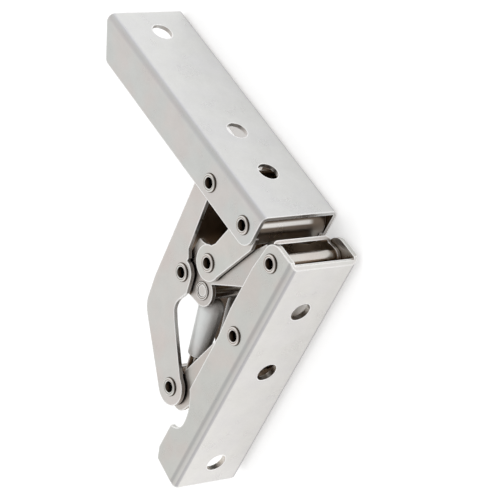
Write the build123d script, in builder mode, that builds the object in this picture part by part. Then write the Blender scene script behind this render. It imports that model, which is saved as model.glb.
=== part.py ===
from build123d import *
import math
import os

os.makedirs("parts", exist_ok=True)

# A concealed spring hinge with seven pivots, lying on its side in the closed position.
# X runs out along the moving arm and Y along the fixed arm, both from the corner where the
# outer faces of the two arms would meet. Z is up, along the pivots.
# All plates are mirrored about the middle plane between the two sides of the hinge.

# Sheet metal and the layers of plates, measured out from the middle plane
sheet = 1.25
fixed_sheet = 1.65
moving_arm_width = 28.0
arm_gap = 0.15

moving_inner = moving_arm_width / 2 - sheet
outer_layer = moving_inner - arm_gap
outer_span = outer_layer - sheet
fixed_inner = outer_layer - fixed_sheet
inner_layer = fixed_inner - arm_gap
inner_span = inner_layer - sheet

# Rivets, pins and the tubes that keep the plates apart
shank_radius = 1.75
rivet_bore = 1.25
rivet_lip_radius = 1.7
head_radius = 2.9
head_height = 0.6
head_edge = 0.15
pin_clearance = 0.06
end_play = 0.1
spacer_radius = 2.5
guide_spacer_radius = 2.2
spring_pin_tube_radius = 2.9
spring_pin_head = 0.35
spring_pin_dish = 0.22
spring_pin_dish_radius = 1.9
hole_radius = shank_radius + pin_clearance

# The eight pivots in the closed position, from the corner, as (X, Y)
moving_outer_pivot = (40.88, 8.26)
moving_inner_pivot = (22.43, 7.73)
fixed_inner_pivot = (7.95, 9.27)
fixed_outer_pivot = (7.05, 37.12)
lever_tip_pivot = (35.90, 39.31)
guide_tip_pivot = (19.36, 70.70)
short_link_pivot = (28.63, 28.63)
spring_pivot = (27.1, 38.6)

# The moving arm
moving_arm_start = 16.8
moving_arm_end = 107.7
moving_flange = 13.0
moving_bend = 2.0
moving_root_round = 4.5
moving_tip_start = 100.6
moving_tip_height = 2.6
moving_screws = (35.34, 53.19, 98.27)

# The fixed arm
fixed_arm_start = 3.2
fixed_web_start = 3.9
fixed_arm_end = 94.9
fixed_tip_drop = 1.2
fixed_flange = 12.15
fixed_shoulder = 13.1
fixed_bend = 2.4
fixed_root_round = 4.6
notch_start = 64.5
notch_bottom = 8.1
notch_middle = 74.6
notch_end = 79.6
fixed_screws = (22.30, 46.93, 85.70)

screw_hole_radius = 3.2
bend_inner_radius = 0.5

# Round ends of the links
outer_lobe = 5.3
middle_lobe = 4.35
guide_lobe = 5.7
short_lobe = 5.5
lever_root_lobe = 3.4
lever_tip_lobe = 5.0
spring_lobe = 4.7
guide_root_lobe = 3.3
guide_tip_lobe = 4.9

# Slots that let two pivots of the closed linkage float: reach along each slot, and play round the rivet
guide_slot_reach = (-2.03, 2.60)
guide_slot_play = 1.05
lever_slot_reach = (-1.06, 2.16)
lever_slot_play = 0.75

# The spring unit: distances along it are from the spring pin towards the guide tip
spring_height = 5.4
cup_start = 3.1
cup_shoulder = 6.6
cup_rim = 22.3
cup_radius = 3.9
cup_rim_radius = 3.1
cup_wall = 0.45
cup_lip = 0.6
cup_flat_radius = 1.0
slide_clearance = 0.08
plunger_radius = 2.3
plunger_wall = 0.4
plunger_start = 13.5
plunger_stop = 4.8
plunger_cap = 0.8
eye_thickness = 3.0
eye_wall = 1.1
eye_play = 0.4
eye_slot_reach = (-2.2, -1.65)
eye_neck = 1.7
plunger_travel = 6.2
coil_radius = 1.3
wire_radius = 0.42
coil_turns = 14
coil_start_gap = 0.9
coil_end_gap = 0.1

# The pivots' middle plane stands above the floor by half the width and one rivet head
middle = moving_arm_width / 2 + head_height
corner = Vector(-moving_arm_end / 2, -fixed_arm_end / 2, middle)


def level(height):
    """The plane at a height above the middle plane, with its origin over the corner."""
    return Plane(origin=corner + Vector(0, 0, height))


def offset_point(point, reach):
    """A point moved by a reach along X and Y."""
    return (point[0] + reach[0], point[1] + reach[1])


def toward(start, end, distance, side):
    """The point a distance along the line from start to end, moved to its left by side."""
    length = math.dist(start, end)
    along = ((end[0] - start[0]) / length, (end[1] - start[1]) / length)
    return (
        start[0] + along[0] * distance - along[1] * side,
        start[1] + along[1] * distance + along[0] * side,
    )


def plate_starts(layer):
    """Heights where the near and the far plate of a layer start."""
    return (layer - sheet, -layer)


# Moving arm: a channel with its web along X and its flanges standing in Y
with BuildPart() as moving_arm:
    with BuildSketch(level(-moving_arm_width / 2)) as side:
        Polygon(
            (moving_arm_start, 0),
            (moving_arm_end, 0),
            (moving_arm_end, moving_tip_height),
            (moving_tip_start, moving_flange),
            (moving_arm_start, moving_flange),
            align=None,
        )
        fillet(side.vertices().sort_by_distance((moving_arm_start, moving_flange))[:1], moving_root_round)
        fillet(side.vertices().sort_by_distance((moving_tip_start, moving_flange))[:1], moving_bend)
    extrude(amount=moving_arm_width)
    outer_edges = moving_arm.edges().filter_by(Axis.X).group_by(Axis.Y)[0]
    fillet(outer_edges, moving_bend)
    with BuildSketch(level(-moving_inner)):
        with Locations((0, sheet)):
            Rectangle(moving_arm_end + sheet, moving_flange, align=Align.MIN)
    extrude(amount=2 * moving_inner, mode=Mode.SUBTRACT)
    web_inner = corner.Y + sheet
    inner_edges = moving_arm.edges().filter_by(Axis.X).filter_by_position(
        Axis.Y, web_inner - pin_clearance, web_inner + pin_clearance)
    fillet(inner_edges, bend_inner_radius)
    with BuildSketch(Plane(origin=corner, x_dir=(1, 0, 0), z_dir=(0, -1, 0))):
        with Locations(*[(place, 0) for place in moving_screws]):
            Circle(screw_hole_radius)
    extrude(amount=-2 * sheet, mode=Mode.SUBTRACT)
    with BuildSketch(level(-moving_arm_width / 2)):
        with Locations(moving_outer_pivot, moving_inner_pivot):
            Circle(hole_radius)
    extrude(amount=moving_arm_width, mode=Mode.SUBTRACT)
moving_arm.part.label = "moving_arm"
export_step(moving_arm.part, "parts/moving_arm.step")

# Fixed arm: a channel with its web along Y and its flanges standing in X
fixed_tip_end = fixed_arm_end - fixed_tip_drop
with BuildPart() as fixed_arm:
    with BuildSketch(level(-outer_layer)) as side:
        with BuildLine():
            shoulder_start = (fixed_shoulder, (fixed_inner_pivot[1] + fixed_screws[0]) / 2)
            shoulder_end = (fixed_shoulder, fixed_outer_pivot[1] - outer_lobe)
            arm_edge = (fixed_flange, fixed_outer_pivot[1] + outer_lobe)
            notch_low = (notch_bottom, notch_middle)
            Polyline(
                (0, fixed_arm_end),
                (0, fixed_arm_start + fixed_sheet),
                (fixed_sheet, fixed_arm_start),
                (fixed_inner_pivot[0], fixed_arm_start),
            )
            root_end = (fixed_flange, fixed_arm_start + fixed_root_round)
            ThreePointArc(
                (fixed_inner_pivot[0], fixed_arm_start),
                (
                    root_end[0] - (root_end[0] - fixed_inner_pivot[0]) * (1 - math.sqrt(0.5)),
                    fixed_arm_start + fixed_root_round * (1 - math.sqrt(0.5)),
                ),
                root_end,
            )
            Polyline(root_end, shoulder_start, shoulder_end, arm_edge, (fixed_flange, notch_start))
            TangentArc(notch_low, (fixed_flange, notch_start), tangent=(0, -1))
            TangentArc(notch_low, (fixed_flange, notch_end), tangent=(0, 1))
            Polyline(
                (fixed_flange, notch_end),
                (fixed_flange, fixed_tip_end - 2 * fixed_bend),
                (fixed_flange - fixed_sheet, fixed_tip_end - fixed_bend / 2),
                (fixed_sheet, fixed_tip_end),
                (0, fixed_arm_end),
            )
        make_face()
    extrude(amount=2 * outer_layer)
    outer_edges = fixed_arm.edges().filter_by(Axis.Y).group_by(Axis.X)[0]
    fillet(outer_edges, fixed_bend)
    with BuildSketch(level(-fixed_inner)):
        with Locations((fixed_sheet, 0)):
            Rectangle(2 * fixed_flange, fixed_arm_end, align=Align.MIN)
        Rectangle(2 * fixed_flange, fixed_web_start, align=(Align.CENTER, Align.MIN))
    extrude(amount=2 * fixed_inner, mode=Mode.SUBTRACT)
    web_inner = corner.X + fixed_sheet
    inner_edges = fixed_arm.edges().filter_by(Axis.Y).filter_by_position(
        Axis.X, web_inner - pin_clearance, web_inner + pin_clearance)
    fillet(inner_edges, bend_inner_radius)
    with BuildSketch(Plane(origin=corner, x_dir=(0, 1, 0), z_dir=(1, 0, 0))):
        with Locations(*[(place, 0) for place in fixed_screws]):
            Circle(screw_hole_radius)
    extrude(amount=2 * fixed_sheet, mode=Mode.SUBTRACT)
    with BuildSketch(level(-outer_layer)):
        with Locations(fixed_inner_pivot, fixed_outer_pivot):
            Circle(hole_radius)
    extrude(amount=2 * outer_layer, mode=Mode.SUBTRACT)
fixed_arm.part.label = "fixed_arm"
export_step(fixed_arm.part, "parts/fixed_arm.step")

# Bent link: from the moving arm over the lever's tip, then bent down to the guide link
bent_root = (43.4, 3.6)
bent_top_root = (48.07, 6.2)
bent_top_end = (44.92, 49.1)
bent_knee = (43.15, 59.1)
bent_knee_round = 8.0
bent_lower_side = ((32.7, 50.0), (32.2, 47.0), (30.55, 42.9), (31.6, 38.5))
bent_inner_side = ((36.2, 33.8), (37.9, 31.5), (40.05, 14.67))
bent_tip_sides = ((3.73, 4.31), (-3.6, -3.75))
bent_elbow = (29.35, 53.8)
bent_crotch_round = 4.0
bent_web_start = 10.0
bent_web_end = 42.0
with BuildSketch() as bent_outline:
    Polygon(
        moving_outer_pivot,
        bent_root,
        bent_top_root,
        bent_top_end,
        bent_knee,
        offset_point(guide_tip_pivot, bent_tip_sides[0]),
        guide_tip_pivot,
        offset_point(guide_tip_pivot, bent_tip_sides[1]),
        bent_elbow,
        *bent_lower_side,
        lever_tip_pivot,
        *bent_inner_side,
        align=None,
    )
    fillet(bent_outline.vertices().sort_by_distance(bent_knee)[:1], bent_knee_round)
    fillet(bent_outline.vertices().sort_by_distance(bent_lower_side[0])[:1], bent_crotch_round)
    with Locations(moving_outer_pivot):
        Circle(outer_lobe)
    with Locations(lever_tip_pivot):
        Circle(middle_lobe)
    with Locations(guide_tip_pivot):
        Circle(guide_lobe)
    fillet(bent_outline.vertices().sort_by_distance(bent_top_root)[:1], head_radius)
    with Locations(moving_outer_pivot, lever_tip_pivot, guide_tip_pivot):
        Circle(hole_radius, mode=Mode.SUBTRACT)

with BuildPart() as bent_link:
    for start in plate_starts(outer_layer):
        with BuildSketch(level(start)):
            add(bent_outline.sketch)
        extrude(amount=sheet)
    with BuildSketch(level(-outer_span)):
        Polygon(
            toward(bent_top_root, bent_top_end, bent_web_start, 0),
            toward(bent_top_root, bent_top_end, bent_web_end, 0),
            toward(bent_top_root, bent_top_end, bent_web_end, sheet),
            toward(bent_top_root, bent_top_end, bent_web_start, sheet),
            align=None,
        )
    extrude(amount=2 * outer_span)
bent_link.part.label = "bent_link"
export_step(bent_link.part, "parts/bent_link.step")

# Short link: from the moving arm to the lever, with a web wrapped round its end in the moving arm
short_root_side = ((-5.53, 0.77), (-5.78, 4.67))
short_tip_sides = ((-4.93, 1.97), (2.2, -4.7), (0.9, -6.9))
short_root_neck = ((5.35, 6.58), (5.0, 1.7))
short_web_length = 2.9
with BuildSketch() as short_outline:
    Polygon(
        moving_inner_pivot,
        *[offset_point(moving_inner_pivot, reach) for reach in short_root_side],
        offset_point(short_link_pivot, short_tip_sides[0]),
        short_link_pivot,
        *[offset_point(short_link_pivot, reach) for reach in short_tip_sides[1:]],
        *[offset_point(moving_inner_pivot, reach) for reach in short_root_neck],
        align=None,
    )
    with Locations(moving_inner_pivot):
        Circle(outer_lobe)
    with Locations(short_link_pivot):
        Circle(short_lobe)
    with Locations(moving_inner_pivot, short_link_pivot):
        Circle(hole_radius, mode=Mode.SUBTRACT)

with BuildPart() as short_link:
    for start in plate_starts(outer_layer):
        with BuildSketch(level(start)):
            add(short_outline.sketch)
        extrude(amount=sheet)
    with BuildSketch(level(-outer_span)):
        with Locations(moving_inner_pivot):
            Circle(outer_lobe)
            Circle(outer_lobe - sheet, mode=Mode.SUBTRACT)
            Rectangle(2 * outer_lobe, 2 * outer_lobe, align=Align.MAX, mode=Mode.INTERSECT)
        with Locations(offset_point(moving_inner_pivot, (-outer_lobe, 0))):
            Rectangle(sheet, short_web_length, align=Align.MIN)
    extrude(amount=2 * outer_span)
short_link.part.label = "short_link"
export_step(short_link.part, "parts/short_link.step")

# Lever link: turns on the fixed arm and carries the bent link, the short link and the spring pin
lever_web_drop = 6.35
lever_web_bend = 2.0
lever_web_start = 0.2
lever_web_end = 3.0
lever_edge = ((3.0, 5.5), (5.8, 4.8), (8.8, 4.2))
lever_ear = ((32.0, 24.8), (33.8, 26.2), (35.6, 26.9), (37.4, 27.1), (37.6, 30.0), (38.0, 33.0))
lever_lower_side = ((24.9, 34.0), (11.2, 22.0))
lever_corner = [
    toward(fixed_inner_pivot, lever_tip_pivot, distance, lever_web_bend - lever_web_drop)
    for distance in (lever_web_start, lever_web_end)
]
with BuildSketch() as lever_outline:
    with Locations(fixed_inner_pivot):
        Circle(lever_root_lobe)
    Polygon(fixed_inner_pivot, *lever_corner, align=None)
    make_hull()
    Polygon(
        fixed_inner_pivot,
        *[toward(fixed_inner_pivot, lever_tip_pivot, distance, -side) for distance, side in lever_edge],
        *lever_ear,
        toward(lever_tip_pivot, fixed_inner_pivot, 0, lever_tip_lobe),
        lever_tip_pivot,
        offset_point(lever_tip_pivot, (0, lever_tip_lobe)),
        offset_point(spring_pivot, (0, spring_lobe)),
        spring_pivot,
        *lever_lower_side,
        toward(fixed_inner_pivot, lever_tip_pivot, 0, lever_root_lobe),
        align=None,
    )
    with Locations(lever_tip_pivot):
        Circle(lever_tip_lobe)
    with Locations(spring_pivot):
        Circle(spring_lobe)
    with Locations(fixed_inner_pivot, lever_tip_pivot, spring_pivot):
        Circle(hole_radius, mode=Mode.SUBTRACT)

with BuildSketch() as lever_slot:
    with Locations(short_link_pivot, offset_point(short_link_pivot, lever_slot_reach)):
        Circle(hole_radius + lever_slot_play)
    make_hull()

with BuildPart() as lever_link:
    for start in plate_starts(inner_layer):
        with BuildSketch(level(start)):
            add(lever_outline.sketch)
            add(lever_slot.sketch, mode=Mode.SUBTRACT)
        extrude(amount=sheet)
    web_way = Vector(*toward(fixed_inner_pivot, lever_tip_pivot, 1, 0)) - Vector(*fixed_inner_pivot)
    web_start = Vector(*toward(fixed_inner_pivot, lever_tip_pivot, lever_web_start, 0))
    web_plane = Plane(origin=corner + web_start, x_dir=(web_way.Y, -web_way.X, 0), z_dir=web_way)
    with BuildSketch(web_plane) as lever_fold:
        with Locations((lever_web_drop, 0)):
            Rectangle(2 * lever_web_bend, 2 * inner_layer, align=(Align.MAX, Align.CENTER))
        fillet(lever_fold.vertices().group_by(Axis.X)[-1], lever_web_bend)
        with Locations((lever_web_drop - sheet, 0)):
            Rectangle(
                2 * lever_web_bend,
                2 * inner_span,
                align=(Align.MAX, Align.CENTER),
                mode=Mode.SUBTRACT,
            )
        for turn in (inner_span, -inner_span):
            inner_corner = (lever_web_drop - sheet, turn)
            fillet(lever_fold.vertices().sort_by_distance(inner_corner)[:1], bend_inner_radius)
    extrude(amount=lever_web_end - lever_web_start)
lever_link.part.label = "lever_link"
export_step(lever_link.part, "parts/lever_link.step")

# Guide link: a channel from the fixed arm to the bent link, its web facing the fixed arm's web
guide_drop = 7.8
guide_web_start = 10.0
guide_web_end = 35.0
guide_corner = 38.1
guide_corner_round = 3.5
guide_low = fixed_sheet + arm_gap
guide_upper_side = ((18.6, 63.3), (14.0, 47.2), (11.2, 38.4))
guide_slot_end = offset_point(fixed_outer_pivot, guide_slot_reach)
web_line = [
    toward(fixed_outer_pivot, guide_tip_pivot, distance, side)
    for distance, side in (
        (guide_web_start, guide_drop),
        (guide_web_end, guide_drop),
        (guide_web_end, guide_drop - sheet),
        (guide_web_start, guide_drop - sheet),
    )
]
with BuildSketch() as guide_slot:
    with Locations(fixed_outer_pivot, guide_slot_end):
        Circle(shank_radius + guide_slot_play)
    make_hull()

with BuildSketch() as guide_outline:
    with Locations(fixed_outer_pivot):
        Circle(guide_root_lobe)
    with Locations(guide_slot_end):
        Circle(guide_slot_end[0] - guide_low)
    make_hull()
    far_corner = toward(fixed_outer_pivot, guide_tip_pivot, guide_corner, guide_drop)
    Polygon(
        guide_slot_end,
        (guide_low, guide_slot_end[1]),
        (guide_low, fixed_outer_pivot[1] + guide_drop),
        web_line[0],
        far_corner,
        offset_point(guide_tip_pivot, (0, guide_tip_lobe)),
        guide_tip_pivot,
        *guide_upper_side,
        fixed_outer_pivot,
        align=None,
    )
    fillet(guide_outline.vertices().sort_by_distance(far_corner)[:1], guide_corner_round)
    with Locations(guide_tip_pivot):
        Circle(guide_tip_lobe)
        Circle(hole_radius, mode=Mode.SUBTRACT)
    add(guide_slot.sketch, mode=Mode.SUBTRACT)

with BuildPart() as guide_link:
    for start in plate_starts(inner_layer):
        with BuildSketch(level(start)):
            add(guide_outline.sketch)
        extrude(amount=sheet)
    with BuildSketch(level(-inner_span)):
        Polygon(*web_line, align=None)
    extrude(amount=2 * inner_span)
guide_link.part.label = "guide_link"
export_step(guide_link.part, "parts/guide_link.step")


def pivot_plane(pivot):
    """The upright plane through a pivot: its x is a radius along X and its y is up."""
    return Plane(origin=corner + Vector(*pivot), x_dir=(1, 0, 0), z_dir=(0, -1, 0))


def tubular_rivet(pivot, seat):
    """A hollow rivet rolled over on the two outer faces that lie at seat from the middle plane."""
    plane = pivot_plane(pivot)
    with BuildPart() as rivet:
        with BuildSketch(plane):
            with BuildLine():
                Polyline(
                    (rivet_bore, 0),
                    (rivet_bore, seat - head_height),
                    (rivet_lip_radius, seat + head_height - head_edge),
                )
                ThreePointArc(
                    (rivet_lip_radius, seat + head_height - head_edge),
                    ((rivet_lip_radius + head_radius) / 2, seat + head_height),
                    (head_radius, seat + head_edge),
                )
                Polyline(
                    (head_radius, seat + head_edge),
                    (head_radius - head_edge, seat),
                    (shank_radius, seat),
                    (shank_radius, 0),
                    (rivet_bore, 0),
                )
            make_face()
            mirror(about=Plane.XZ)
        revolve(axis=Axis(plane.origin, (0, 0, 1)))
    return rivet


def spacer_tube(pivot, span, radius):
    """A tube round a rivet that keeps two plates a span either side of the middle plane."""
    with BuildPart() as spacer:
        with BuildSketch(level(end_play - span)):
            with Locations(pivot):
                Circle(radius)
                Circle(hole_radius, mode=Mode.SUBTRACT)
        extrude(amount=2 * (span - end_play))
    return spacer


# Seven tubular rivets, each with the tube that keeps its plates apart
rivet_places = {
    "moving_arm_outer": (moving_outer_pivot, moving_arm_width / 2, outer_span, spacer_radius),
    "moving_arm_inner": (moving_inner_pivot, moving_arm_width / 2, outer_span, spacer_radius),
    "fixed_arm_inner": (fixed_inner_pivot, outer_layer, inner_span, spacer_radius),
    "fixed_arm_outer": (fixed_outer_pivot, outer_layer, inner_span, spacer_radius),
    "lever_tip": (lever_tip_pivot, outer_layer, inner_span, spacer_radius),
    "guide_tip": (guide_tip_pivot, outer_layer, inner_span, guide_spacer_radius),
    "short_link": (short_link_pivot, outer_layer, inner_span, spacer_radius),
}
for name, (pivot, seat, span, radius) in rivet_places.items():
    rivet = tubular_rivet(pivot, seat)
    rivet.part.label = f"{name}_rivet"
    export_step(rivet.part, f"parts/{name}_rivet.step")
    spacer = spacer_tube(pivot, span, radius)
    spacer.part.label = f"{name}_spacer"
    export_step(spacer.part, f"parts/{name}_spacer.step")

# Spring pin: solid, with low dished heads that pass under the bent link
pin_plane = pivot_plane(spring_pivot)
with BuildPart() as spring_pin:
    with BuildSketch(pin_plane):
        with BuildLine():
            Polyline(
                (0, 0),
                (0, inner_layer + spring_pin_head - spring_pin_dish),
                (spring_pin_dish_radius - spring_pin_dish, inner_layer + spring_pin_head - spring_pin_dish),
                (spring_pin_dish_radius, inner_layer + spring_pin_head),
                (head_radius - spring_pin_dish, inner_layer + spring_pin_head),
                (head_radius, inner_layer + spring_pin_head - spring_pin_dish),
                (head_radius, inner_layer),
                (shank_radius, inner_layer),
                (shank_radius, 0),
                (0, 0),
            )
        make_face()
        mirror(about=Plane.XZ)
    revolve(axis=Axis(pin_plane.origin, (0, 0, 1)))
spring_pin.part.label = "spring_pin"
export_step(spring_pin.part, "parts/spring_pin.step")

spring_pin_tube = spacer_tube(spring_pivot, inner_span, spring_pin_tube_radius)
spring_pin_tube.part.label = "spring_pin_tube"
export_step(spring_pin_tube.part, "parts/spring_pin_tube.step")

spring_length = math.dist(spring_pivot, guide_tip_pivot)
plunger_end = spring_length - plunger_stop
spring_way = Vector(
    (guide_tip_pivot[0] - spring_pivot[0]) / spring_length,
    (guide_tip_pivot[1] - spring_pivot[1]) / spring_length,
)
spring_side = Vector(-spring_way.Y, spring_way.X)
coil_start = cup_start + cup_wall + coil_start_gap
coil_end = plunger_end - plunger_cap - wire_radius - coil_end_gap
coil_pitch = (coil_end - coil_start) / coil_turns


def spring_plane(height):
    """The plane of a spring's axis: its x runs from the spring pin to the guide tip."""
    return Plane(origin=corner + Vector(*spring_pivot, height), x_dir=spring_way, z_dir=(0, 0, 1))


def coil_point(height, turn):
    """A point on the wire's centre line, a number of turns from its start."""
    angle = 2 * math.pi * turn
    along = coil_start + coil_pitch * turn
    across = spring_side * (coil_radius * math.cos(angle))
    upward = Vector(0, 0, coil_radius * math.sin(angle))
    return spring_plane(height).origin + spring_way * along + across + upward


def coil_direction(turn):
    """The wire's direction, a number of turns from its start."""
    angle = 2 * math.pi * turn
    around = 2 * math.pi * coil_radius
    across = spring_side * (-around * math.sin(angle))
    upward = Vector(0, 0, around * math.cos(angle))
    return (spring_way * coil_pitch + across + upward).normalized()


for side, height in (("near", spring_height), ("far", -spring_height)):
    plane = spring_plane(height)
    axis = Axis(plane.origin, spring_way)

    # A drawn cup whose domed end bears on the spring pin's tube
    with BuildPart() as cup:
        with BuildSketch(plane):
            with BuildLine():
                TangentArc((cup_shoulder, cup_radius), (cup_start, cup_flat_radius), tangent=(-1, 0))
                Polyline(
                    (cup_shoulder, cup_radius),
                    (cup_rim, cup_rim_radius),
                    (cup_rim, plunger_radius + slide_clearance),
                    (cup_rim - cup_lip, plunger_radius + slide_clearance),
                    (cup_rim - cup_lip, cup_rim_radius - cup_wall),
                    (cup_shoulder, cup_radius - cup_wall),
                )
                TangentArc(
                    (cup_shoulder, cup_radius - cup_wall),
                    (cup_start + cup_wall, cup_flat_radius),
                    tangent=(-1, 0),
                )
                Polyline(
                    (cup_start + cup_wall, cup_flat_radius),
                    (cup_start + cup_wall, 0),
                    (cup_start, 0),
                    (cup_start, cup_flat_radius),
                )
            make_face()
        revolve(axis=axis)
    cup.part.label = f"{side}_spring_cup"
    export_step(cup.part, f"parts/{side}_spring_cup.step")

    # A closed sleeve that slides in the cup, with an eye round the guide tip's tube
    eye_places = ((spring_length, 0), offset_point((spring_length, 0), eye_slot_reach))
    neck_end = cup_rim + plunger_travel + end_play
    with BuildSketch(plane.offset(-eye_thickness / 2)) as eye_slot:
        with Locations(*eye_places):
            Circle(guide_spacer_radius + eye_play)
        make_hull()
    with BuildPart() as plunger:
        with BuildSketch(plane.offset(-eye_thickness / 2)):
            with Locations(*eye_places):
                Circle(guide_spacer_radius + eye_play + eye_wall)
            make_hull()
            add(eye_slot.sketch_local, mode=Mode.SUBTRACT)
            for turn in (Align.MIN, Align.MAX):
                with Locations((neck_end, eye_neck if turn == Align.MIN else -eye_neck)):
                    Rectangle(cup_rim, cup_rim, align=(Align.MAX, turn), mode=Mode.SUBTRACT)
        extrude(amount=eye_thickness)
        with BuildSketch(plane):
            Polygon(
                (plunger_start, plunger_radius - plunger_wall),
                (plunger_start, plunger_radius),
                (plunger_end, plunger_radius),
                (plunger_end, 0),
                (plunger_end - plunger_cap, 0),
                (plunger_end - plunger_cap, plunger_radius - plunger_wall),
                align=None,
            )
        revolve(axis=axis)
    plunger.part.label = f"{side}_spring_plunger"
    export_step(plunger.part, f"parts/{side}_spring_plunger.step")

    # The compression spring inside the cup and the sleeve
    with BuildPart() as coil:
        with BuildLine() as wire:
            for quarter in range(4 * coil_turns):
                first = coil_point(height, quarter / 4)
                last = coil_point(height, (quarter + 1) / 4)
                leaving = coil_direction(quarter / 4)
                arriving = coil_direction((quarter + 1) / 4)
                chord = last - first
                both = chord.dot(leaving + arriving)
                turned = 2 * (1 - leaving.dot(arriving))
                reach = (math.sqrt(both**2 + turned * chord.dot(chord)) - both) / turned
                before = first + leaving * reach
                after = last - arriving * reach
                joint = (before + after) * 0.5
                TangentArc(first, joint, tangent=leaving)
                TangentArc(joint, last, tangent=after - before)
        with BuildSketch(Plane(origin=coil_point(height, 0), z_dir=coil_direction(0))):
            Circle(wire_radius)
        sweep(path=wire.wires()[0])
    coil.part.label = f"{side}_coil_spring"
    export_step(coil.part, f"parts/{side}_coil_spring.step")

samples = [coil_point(0, turn / 16) for turn in range(16 * coil_turns + 1)]
gaps = [
    (samples[i] - samples[j]).length - 2 * wire_radius
    for i in range(len(samples))
    for j in range(i + 9, len(samples))
]
print(f"least gap between turns of a coil spring: {min(gaps):.2f} mm")
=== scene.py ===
"""Looks of the folding spring hinge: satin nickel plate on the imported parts, in a white studio."""

import bpy
from mathutils import Matrix, Vector


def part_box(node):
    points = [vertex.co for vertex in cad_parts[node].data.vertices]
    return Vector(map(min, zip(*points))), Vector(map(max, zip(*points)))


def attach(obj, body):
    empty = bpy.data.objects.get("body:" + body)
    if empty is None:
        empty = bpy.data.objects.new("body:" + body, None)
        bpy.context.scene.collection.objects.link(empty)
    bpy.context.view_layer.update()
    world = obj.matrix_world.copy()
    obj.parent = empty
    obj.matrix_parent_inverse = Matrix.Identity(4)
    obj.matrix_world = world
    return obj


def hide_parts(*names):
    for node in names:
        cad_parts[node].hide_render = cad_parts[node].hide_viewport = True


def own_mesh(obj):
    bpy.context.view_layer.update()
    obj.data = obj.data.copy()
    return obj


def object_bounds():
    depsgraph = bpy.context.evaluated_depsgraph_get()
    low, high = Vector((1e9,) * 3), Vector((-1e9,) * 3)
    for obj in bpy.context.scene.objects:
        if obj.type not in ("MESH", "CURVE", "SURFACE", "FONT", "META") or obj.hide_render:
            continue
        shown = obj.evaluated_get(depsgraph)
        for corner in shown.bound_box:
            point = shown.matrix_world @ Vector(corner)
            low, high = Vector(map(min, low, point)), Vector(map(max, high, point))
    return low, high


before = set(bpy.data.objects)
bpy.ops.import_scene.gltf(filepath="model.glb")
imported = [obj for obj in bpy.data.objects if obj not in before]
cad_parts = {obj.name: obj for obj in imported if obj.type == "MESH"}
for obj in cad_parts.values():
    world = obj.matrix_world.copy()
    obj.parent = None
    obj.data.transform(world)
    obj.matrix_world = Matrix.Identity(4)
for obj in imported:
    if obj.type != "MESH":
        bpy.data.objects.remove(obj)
cad_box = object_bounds()
scene = bpy.context.scene

MM = 1000.0  # millimetres in a metre
MIDDLE_HEIGHT = (cad_box[0].z + cad_box[1].z) / 2 * MM

# Camera, in metres in the row frame
CAMERA_PLACE = Vector((-0.41082, -0.43828, 0.47137))
CAMERA_FORWARD = Vector((0.52893, 0.57042, -0.62838))
CAMERA_RIGHT = Vector((-0.50214, -0.38656, -0.77358))
CAMERA_LENS = 179.76
SENSOR_WIDTH = 36.0
CLIP_START = 0.01

# Colours of the arms' and links' webs and inner faces, as linear red, green and blue. They are
# painted light and shade: each web lighter or darker than its flanges, dark webs and brown inner
# faces as painted shade and painted reflections of the dark interior, and the fixed arm's pale
# inner faces as painted light
ARM_WEB = (0.640, 0.640, 0.628)
FIXED_WEB = (0.675, 0.660, 0.635)
BENT_WEB = (0.58, 0.56, 0.54)
SHORT_WEB_SHADE = (0.17, 0.135, 0.105)
LEVER_WEB = (0.72, 0.71, 0.69)
GUIDE_WEB_SHADE = (0.27, 0.21, 0.15)
ARM_INSIDE = (0.66, 0.64, 0.62)
FIXED_INNER_LIGHT = (0.90, 0.865, 0.82)
LINK_INNER_SHADE = (0.07, 0.05, 0.036)
LEVER_INNER_SHADE = (0.44, 0.34, 0.255)
WEB_SHADE = (0.46, 0.35, 0.26)
OPEN_WEB = (0.60, 0.575, 0.545)
SHADED = (0.22, 0.15, 0.09)

# Colours of the painted highlights on edges and on the short link's streak, of painted shade in
# corners, grooves, on the rivets' walls and in enclosed places, and of the other pieces
EDGE_HIGHLIGHT = (0.98, 0.975, 0.965)
STREAK_HIGHLIGHT = (0.74, 0.72, 0.69)
CORNER_SHADE = (0.15, 0.11, 0.078)
RECESS_SHADE = (0.11, 0.085, 0.065)
RIVET = (0.66, 0.645, 0.62)
PIN = (0.62, 0.605, 0.585)
STEEL = (0.62, 0.595, 0.565)
CUP = (0.74, 0.74, 0.735)

# Clouds of tint: factors on a piece's colour, and on a web's
WARM = (1.005, 0.965, 0.950)
COOL = (0.970, 0.990, 0.980)
WEB_HUE = (0.992, 0.990, 1.006)

# Noises: scale per mm, detail and roughness, and how far one seed moves them, in mm
CLOUD_NOISE = (0.16, 3.0, 0.55)
GRAIN_NOISE = (1.6, 3.0, 0.55)
PIT_NOISE = (1.1, 2.0, 0.5)
TINT_NOISE = (0.11, 2.0, 0.5)
SEED_STEP = (17.0, 31.0, 7.0)

# Where a noise's low and high tones lie, and what the clouds and the grain do to the colour
TINT_BAND = (0.35, 0.65)
TONE_BAND = (0.3, 0.7)
CLOUD_TONES = (0.95, 1.03)
GRAIN_TONES = (0.98, 1.012)
ROUGH_SPREAD = (-0.04, 0.05)

# Bump of grain and pits: their shares, its strength and its depth in metres
GRAIN_SHARE = 0.6
PIT_SHARE = 0.4
BUMP_STRENGTH = 0.04
BUMP_DEPTH = 0.00004

# Radii of the rounded edges and reaches of the corners and rooms, in metres
MASK_ROUNDING = 0.0008
SHADING_ROUNDING = 0.0002
CORNER_REACH = 0.006
ROOM_REACH = 0.03
MASK_SAMPLES = 6

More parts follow.
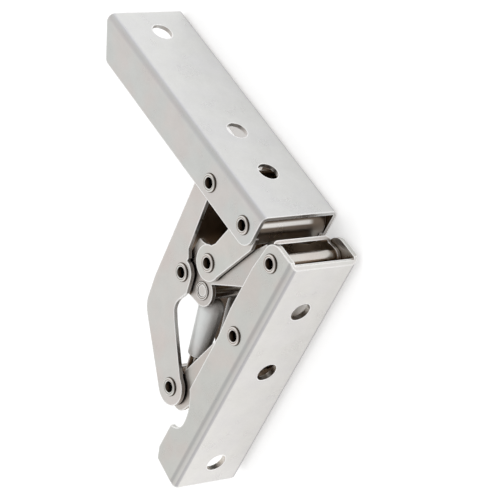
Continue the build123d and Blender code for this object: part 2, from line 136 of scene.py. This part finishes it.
# Masks: the values at which each begins and is full, and its share where it's never whole. They
# place painted light and shade: on the inner faces, along the edges, in corners, in enclosed
# places and on the rivets' side walls
OUTER_WEB = (-0.3, -0.97)
INNER_WEB = (0.4, 0.8)
INNER_PLATE = (-0.3, -0.7)
HIGHLIGHT_TURN, HIGHLIGHT_SHARE = (0.985, 0.92), 0.95
SHADED_AIR = (0.95, 0.5)
DEEP_ROOM = (0.62, 0.42)
RECESS_SHADE_ROOM, RECESS_SHADE_SHARE = (0.26, 0.12), 0.9
CORNER_SHADE_AIR, CORNER_SHADE_SHARE = (0.75, 0.15), 0.6
RIVET_WALL = (0.85, 0.65)

# Painted shade lines along a bend, by the share of the normal that looks out of the web: a rise
# and a fall each
FLANGE_LINE = ((0.02, 0.22), (0.62, 0.42))
FLANGE_LINE_SHARE = 0.65
WEB_LINE = ((0.78, 0.90), (0.999, 0.975))
BEND_ONLY = (0.90, 0.98)
LINE_BLUE = 0.03

# The painted highlight streak on the short link's web, in mm: its band along the fixed arm, where
# it starts in height, its side, and how soft its borders are
STREAK_BAND = (-43.6, -42.1)
STREAK_START = 6.2
STREAK_SIDE = -33.0
STREAK_BAND_SOFT = 0.5
STREAK_START_SOFT = 2.5
STREAK_SIDE_SOFT = 0.1

# Grooves in the round heads: inner and outer radius and soft border in mm, and their share
PIN_GROOVE = (2.05, 2.55)
RIVET_GROOVE = (1.95, 2.3)
GROOVE_SOFT = 0.12
GROOVE_SHARE = 0.7

# The plungers' slide: its way
SLIDE = (-0.234404, 0.972139, 0.0)

# Studio, in metres: the floor, a little below the hinge, and the room that the metal mirrors
FLOOR_COLOUR = (0.80, 0.80, 0.80, 1.0)
FLOOR_REACH = 3.0
FLOOR_DROP = 0.00005
FLOOR_GLOW = 0.46
ROOM_BAND = (0.15, 0.85)
ROOM_TONES = (1.0, 0.42)
ROOM_LIGHT = 0.82
LAMP_TARGET = (0.0, 0.0, 0.015)
LAMP_HEIGHT_SHARE = 0.7

# Folded plates: seed of the noises, colours of the flanges, the web and the inner faces (the web's
# and the inner faces' colours are painted light and shade), the way from the web to the open side,
# half the space between the flanges in mm, and the tone of the painted shade lines along the bends;
# the short link also carries the painted highlight streak
PLATES = {
    "moving_arm": {
        "seed": 2,
        "colour": (0.612, 0.606, 0.594),
        "web": ARM_WEB,
        "inside": ARM_INSIDE,
        "inward": (0.0, 1.0, 0.0),
        "space": 12.74,
        "bend_shade_tone": 0.90,
    },
    "fixed_arm": {
        "seed": 1,
        "colour": (0.600, 0.588, 0.566),
        "web": FIXED_WEB,
        "inside": FIXED_INNER_LIGHT,
        "inward": (1.0, 0.0, 0.0),
        "space": 10.94,
        "bend_shade_tone": 0.66,
    },
    "bent_link": {
        "seed": 3,
        "colour": (0.625, 0.602, 0.582),
        "web": BENT_WEB,
        "inside": LINK_INNER_SHADE,
        "inward": (-1.0, 0.0, 0.0),
        "space": 11.34,
        "bend_shade_tone": 1.0,
    },
    "short_link": {
        "seed": 5,
        "colour": (0.615, 0.610, 0.585),
        "web": SHORT_WEB_SHADE,
        "inside": LINK_INNER_SHADE,
        "inward": (0.7, 0.7, 0.0),
        "space": 11.34,
        "bend_shade_tone": 1.0,
        "streaked": True,
    },
    "lever_link": {
        "seed": 4,
        "colour": (0.560, 0.535, 0.515),
        "web": LEVER_WEB,
        "inside": LEVER_INNER_SHADE,
        "inward": (-0.7, 0.7, 0.0),
        "space": 9.54,
        "bend_shade_tone": 1.0,
    },
    "guide_link": {
        "seed": 6,
        "colour": (0.560, 0.530, 0.500),
        "web": GUIDE_WEB_SHADE,
        "inside": LINK_INNER_SHADE,
        "inward": (0.94, -0.34, 0.0),
        "space": 9.54,
        "bend_shade_tone": 1.0,
    },
}


class Graph:
    """Adds nodes to one material or world and joins them."""

    def __init__(self, owner):
        owner.use_nodes = True
        self.tree = owner.node_tree
        self.tree.nodes.clear()

    def feed(self, socket, value):
        if isinstance(value, bpy.types.NodeSocket):
            self.tree.links.new(value, socket)
        else:
            socket.default_value = value

    def add(self, kind, inputs=None, **settings):
        node = self.tree.nodes.new(kind)
        for name, value in settings.items():
            setattr(node, name, value)
        for name, value in (inputs or {}).items():
            self.feed(node.inputs[name], value)
        return node

    def math(self, operation, *values):
        return self.add("ShaderNodeMath", dict(enumerate(values)), operation=operation).outputs[0]

    def vector(self, operation, *values):
        inputs = dict(enumerate(values))
        return self.add("ShaderNodeVectorMath", inputs, operation=operation).outputs[0]

    def dot(self, first, second):
        inputs = {0: first, 1: second}
        return self.add("ShaderNodeVectorMath", inputs, operation="DOT_PRODUCT").outputs["Value"]

    def split(self, value):
        return self.add("ShaderNodeSeparateXYZ", {0: value}).outputs[:]

    def squares(self, first, second):
        """The sum of two values' squares."""
        return self.math(
            "ADD", self.math("MULTIPLY", first, first), self.math("MULTIPLY", second, second)
        )

    def ramp(self, value, low, high, to_low=0.0, to_high=1.0, kind="SMOOTHSTEP"):
        inputs = {
            "Value": value,
            "From Min": low,
            "From Max": high,
            "To Min": to_low,
            "To Max": to_high,
        }
        return self.add("ShaderNodeMapRange", inputs, interpolation_type=kind).outputs[0]

    def band(self, value, rise, fall):
        """Full between a rise and a fall of the value, nothing outside them."""
        return self.math("MULTIPLY", self.ramp(value, *rise), self.ramp(value, *fall))

    def mix(self, factor, first, second, blend="MIX"):
        node = self.add("ShaderNodeMix", data_type="RGBA", blend_type=blend)
        factor_socket, first_socket, second_socket = (node.inputs[i] for i in (0, 6, 7))
        self.feed(factor_socket, factor)
        for socket, colour in ((first_socket, first), (second_socket, second)):
            self.feed(socket, (*colour, 1.0) if isinstance(colour, tuple) else colour)
        return node.outputs[2]

    def grey(self, value):
        return self.add("ShaderNodeCombineColor", {0: value, 1: value, 2: value}).outputs[0]

    def noise(self, place, scale, detail, roughness):
        inputs = {"Vector": place, "Scale": scale, "Detail": detail, "Roughness": roughness}
        return self.add("ShaderNodeTexNoise", inputs).outputs[0]

    def rounded(self, radius):
        """The normal with its edges rounded."""
        return self.add("ShaderNodeBevel", {"Radius": radius}, samples=MASK_SAMPLES).outputs[0]

    def openness(self, reach):
        """How open the surroundings are within a reach, from 0 to 1."""
        inputs = {"Distance": reach}
        return self.add("ShaderNodeAmbientOcclusion", inputs, samples=MASK_SAMPLES).outputs["AO"]


def scaled(colour, factors):
    return tuple(c * f for c, f in zip(colour, factors))


def bend_shade_lines(graph, rounded, inward):
    """Two soft painted shade lines along a bend, where the flange and the web begin to turn."""
    turn = graph.math("MULTIPLY", graph.dot(rounded, inward), -1.0)
    flat = graph.split(rounded)[2]
    flange_line = graph.math("MULTIPLY", graph.band(turn, *FLANGE_LINE), FLANGE_LINE_SHARE)
    both = graph.math("MAXIMUM", flange_line, graph.band(turn, *WEB_LINE))
    return graph.math("MULTIPLY", both, graph.ramp(graph.squares(turn, flat), *BEND_ONLY))


def painted_outer_shading(graph, base, rounded, tint, plate):
    """Painted light and shade on the web's outer face, and painted shade lines along its bends."""
    outward = graph.ramp(graph.dot(rounded, plate["inward"]), *OUTER_WEB)
    web = graph.mix(tint, plate["web"], scaled(plate["web"], WEB_HUE))
    base = graph.mix(outward, base, web)
    tone = plate["bend_shade_tone"]
    toned = graph.mix(1.0, base, (tone, tone, tone + LINE_BLUE), "MULTIPLY")
    return graph.mix(bend_shade_lines(graph, rounded, plate["inward"]), base, toned)


def painted_inner_shading(graph, base, place, normal, air, room, plate):
    """Painted light and shade where the flanges look at each other, and on the web between them."""
    height = graph.math("SUBTRACT", graph.split(place)[2], MIDDLE_HEIGHT)
    facing = graph.math("MULTIPLY", graph.math("SIGN", height), graph.split(normal)[2])
    # Painted shade on the inner faces, deeper near corners
    flanges = graph.mix(graph.ramp(air, *SHADED_AIR), plate["inside"], SHADED)
    base = graph.mix(graph.ramp(facing, *INNER_PLATE), base, flanges)

    between = graph.math("LESS_THAN", graph.math("ABSOLUTE", height), plate["space"])
    inner = graph.ramp(graph.dot(normal, plate["inward"]), *INNER_WEB)
    # Painted shade on the inner web, deeper in enclosed places
    web = graph.mix(graph.ramp(room, *DEEP_ROOM), OPEN_WEB, WEB_SHADE)
    return graph.mix(graph.math("MULTIPLY", inner, between), base, web)


def highlight_streak(graph, place):
    """A painted highlight streak along the short link's web, where it wraps round its rivet."""
    x, y, z = graph.split(place)
    low, high = STREAK_BAND
    band = graph.band(y, (low, low + STREAK_BAND_SOFT), (high, high - STREAK_BAND_SOFT))
    end = graph.ramp(z, STREAK_START, STREAK_START + STREAK_START_SOFT)
    side = graph.ramp(x, STREAK_SIDE + STREAK_SIDE_SOFT, STREAK_SIDE)
    return graph.math("MULTIPLY", band, graph.math("MULTIPLY", end, side))


def painted_ring_shade(graph, base, place, normal, axis, groove):
    """Painted shade on a rivet's side walls, in its bore and in a groove ring in its head."""
    upright = graph.math("ABSOLUTE", graph.split(normal)[2])
    # Painted shade on the side walls and in the bore
    base = graph.mix(graph.ramp(upright, *RIVET_WALL), base, RECESS_SHADE)
    x, y, _ = graph.split(graph.vector("SUBTRACT", place, (*axis, 0.0)))
    radius = graph.math("SQRT", graph.squares(x, y))
    low, high = groove
    ring = graph.band(radius, (low, low + GROOVE_SOFT), (high, high - GROOVE_SOFT))
    return graph.mix(graph.math("MULTIPLY", ring, GROOVE_SHARE), base, CORNER_SHADE)


def satin(name, colour, seed, rough, metallic=1.0, plate=None, ringed=None):
    """Satin nickel plate with clouds, fine grain, painted highlights on its edges and painted shade
    in its corners.

    plate is a folded part's row in PLATES, ringed a round head's axis in mm and its groove.
    """
    material = bpy.data.materials.new(name)
    graph = Graph(material)
    texture = graph.add("ShaderNodeTexCoord").outputs
    normal = texture["Normal"]
    place = graph.vector("MULTIPLY", texture["Object"], (MM, MM, MM))
    shifted = graph.vector("ADD", place, scaled(SEED_STEP, (seed, seed, seed)))
    cloud = graph.noise(shifted, *CLOUD_NOISE)
    grain = graph.noise(shifted, *GRAIN_NOISE)
    pits = graph.noise(shifted, *PIT_NOISE)
    tint = graph.ramp(graph.noise(shifted, *TINT_NOISE), *TINT_BAND)
    rounded = graph.rounded(MASK_ROUNDING)
    air = graph.openness(CORNER_REACH)
    room = graph.openness(ROOM_REACH)

    base = graph.mix(tint, scaled(colour, COOL), scaled(colour, WARM))
    if plate:
        # Painted light and shade on the web's outer face, and painted shade lines along its bends
        base = painted_outer_shading(graph, base, rounded, tint, plate)
    true_normal = graph.add("ShaderNodeNewGeometry").outputs["True Normal"]
    # Painted highlight along the rounded edges
    highlit = graph.ramp(graph.dot(rounded, true_normal), *HIGHLIGHT_TURN)
    base = graph.mix(graph.math("MULTIPLY", highlit, HIGHLIGHT_SHARE), base, EDGE_HIGHLIGHT)
    if plate:
        # Painted light and shade on the inner faces
        base = painted_inner_shading(graph, base, place, normal, air, room, plate)
        # Painted highlight streak on the short link's web
        if plate.get("streaked"):
            base = graph.mix(highlight_streak(graph, place), base, STREAK_HIGHLIGHT)
    else:
        # Painted shade in enclosed places
        base = graph.mix(graph.ramp(room, *RECESS_SHADE_ROOM, to_high=RECESS_SHADE_SHARE), base, RECESS_SHADE)
    if ringed:
        base = painted_ring_shade(graph, base, place, normal, *ringed)
    # Painted shade in corners, darkest where they are tightest
    base = graph.mix(graph.ramp(air, *CORNER_SHADE_AIR, to_high=CORNER_SHADE_SHARE), base, CORNER_SHADE)

    clouds = graph.ramp(cloud, *TONE_BAND, *CLOUD_TONES, kind="LINEAR")
    grains = graph.ramp(grain, *TONE_BAND, *GRAIN_TONES, kind="LINEAR")
    tones = graph.grey(graph.math("MULTIPLY", clouds, grains))
    height = graph.math(
        "ADD", graph.math("MULTIPLY", grain, GRAIN_SHARE), graph.math("MULTIPLY", pits, PIT_SHARE)
    )
    bump = graph.add(
        "ShaderNodeBump",
        {
            "Height": height,
            "Strength": BUMP_STRENGTH,
            "Distance": BUMP_DEPTH,
            "Normal": graph.rounded(SHADING_ROUNDING),
        },
    )
    spread = (rough + step for step in ROUGH_SPREAD)
    shader = graph.add(
        "ShaderNodeBsdfPrincipled",
        {
            "Base Color": graph.mix(1.0, base, tones, "MULTIPLY"),
            "Metallic": metallic,
            "Roughness": graph.ramp(cloud, *TONE_BAND, *spread, kind="LINEAR"),
            "Normal": bump.outputs[0],
        },
    )
    graph.add("ShaderNodeOutputMaterial", {"Surface": shader.outputs[0]})
    return material


def dress(name, material):
    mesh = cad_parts[name].data
    mesh.materials.clear()
    mesh.materials.append(material)


def spring_wire(side, slide):
    """A coil spring as a piece of its own, carried with the spring cups."""
    node = f"{side}_coil_spring"
    wire = bpy.data.objects.new(f"{side}_spring_wire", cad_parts[node].data.copy())
    scene.collection.objects.link(wire)
    points = [vertex.co for vertex in wire.data.vertices]
    along = [point.dot(slide) for point in points]
    middle = sum(points, Vector()) / len(points)
    anchor = middle + slide * (min(along) - middle.dot(slide))
    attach(wire, "spring_cups")
    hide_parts(node)
    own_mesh(wire)


def studio_floor():
    """A white floor that keeps a soft shadow."""
    mesh = bpy.data.meshes.new("studio_floor")
    reach = FLOOR_REACH
    corners = [(-reach, -reach, 0), (reach, -reach, 0), (reach, reach, 0), (-reach, reach, 0)]
    mesh.from_pydata(corners, [], [(0, 1, 2, 3)])
    floor = bpy.data.objects.new("studio_floor", mesh)
    floor.location.z = -FLOOR_DROP
    scene.collection.objects.link(floor)

    material = bpy.data.materials.new("studio_floor")
    graph = Graph(material)
    rays = graph.add("ShaderNodeLightPath").outputs
    seen = graph.math("MAXIMUM", rays["Is Camera Ray"], rays["Is Glossy Ray"])
    seen = graph.math("MAXIMUM", seen, rays["Is Transmission Ray"])
    matt = graph.add("ShaderNodeBsdfDiffuse", {"Color": FLOOR_COLOUR})
    strength = graph.math("MULTIPLY", seen, FLOOR_GLOW)
    glow = graph.add("ShaderNodeEmission", {"Strength": strength})
    both = graph.add("ShaderNodeAddShader", {0: matt.outputs[0], 1: glow.outputs[0]})
    graph.add("ShaderNodeOutputMaterial", {"Surface": both.outputs[0]})
    mesh.materials.append(material)


def studio_room():
    """A white room that darkens softly, in the metal's reflections, towards the photographer."""
    world = bpy.data.worlds.new("studio")
    scene.world = world
    graph = Graph(world)
    rays = graph.add("ShaderNodeLightPath").outputs
    way = graph.add("ShaderNodeTexCoord").outputs["Generated"]
    toward_camera = graph.dot(way, tuple(-CAMERA_FORWARD.normalized()))
    mirrored = graph.ramp(toward_camera, *ROOM_BAND, *ROOM_TONES)
    mirrored = graph.math("MULTIPLY", rays["Is Glossy Ray"], mirrored)
    seen = graph.math("MAXIMUM", rays["Is Camera Ray"], rays["Is Transmission Ray"])
    lit = graph.math("MULTIPLY", rays["Is Diffuse Ray"], ROOM_LIGHT)
    strength = graph.math("MAXIMUM", graph.math("MAXIMUM", mirrored, seen), lit)
    inputs = {"Color": (1.0, 1.0, 1.0, 1.0), "Strength": strength}
    background = graph.add("ShaderNodeBackground", inputs)
    graph.add("ShaderNodeOutputWorld", {"Surface": background.outputs[0]})


def soft_lamp(name, place, size, power):
    """A large lamp above the hinge, in metres and watts, that the metal doesn't mirror."""
    lamp = bpy.data.lights.new(name, "AREA")
    lamp.shape = "RECTANGLE"
    lamp.size = size
    lamp.size_y = size * LAMP_HEIGHT_SHARE
    lamp.energy = power
    holder = bpy.data.objects.new(name, lamp)
    holder.location = place
    way = Vector(LAMP_TARGET) - Vector(place)
    holder.rotation_euler = way.to_track_quat("-Z", "Y").to_euler()
    holder.visible_glossy = False
    scene.collection.objects.link(holder)


def photo_camera():
    data = bpy.data.cameras.new("photo_camera")
    data.lens = CAMERA_LENS
    data.sensor_width = SENSOR_WIDTH
    data.clip_start = CLIP_START
    camera = bpy.data.objects.new("photo_camera", data)
    # The camera looks along its own -Z
    up = CAMERA_RIGHT.cross(CAMERA_FORWARD)
    axes = [axis.normalized() for axis in (CAMERA_RIGHT, up, -CAMERA_FORWARD)]
    camera.matrix_world = Matrix.Translation(CAMERA_PLACE) @ Matrix(axes).transposed().to_4x4()
    scene.collection.objects.link(camera)
    scene.camera = camera


for name, plate in PLATES.items():
    colour, seed = plate["colour"], plate["seed"]
    dress(name, satin(f"{name}_plate", colour, seed, rough=0.30, plate=plate))

steel = satin("bare_steel", STEEL, seed=8, rough=0.18)
cup = satin("cup_plate", CUP, seed=9, rough=0.36, metallic=0.3)
for name in sorted(set(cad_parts) - set(PLATES)):
    low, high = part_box(name)
    axis = tuple((low[i] + high[i]) / 2 * MM for i in (0, 1))
    if "cup" in name:
        dress(name, cup)
    elif name == "spring_pin":
        dress(name, satin("pin_plate", PIN, seed=10, rough=0.22, ringed=(axis, PIN_GROOVE)))
    elif "rivet" in name:
        ringed = (axis, RIVET_GROOVE)
        dress(name, satin(f"{name}_plate", RIVET, seed=7, rough=0.20, ringed=ringed))
    else:
        dress(name, steel)

for side in ("near", "far"):
    spring_wire(side, Vector(SLIDE).normalized())

studio_floor()
studio_room()
soft_lamp("key_lamp", (-0.35, 0.3, 0.85), size=0.9, power=1.0)
soft_lamp("fill_lamp", (0.45, -0.6, 0.55), size=0.8, power=0.9)
photo_camera()
scene.view_settings.view_transform = "Standard"
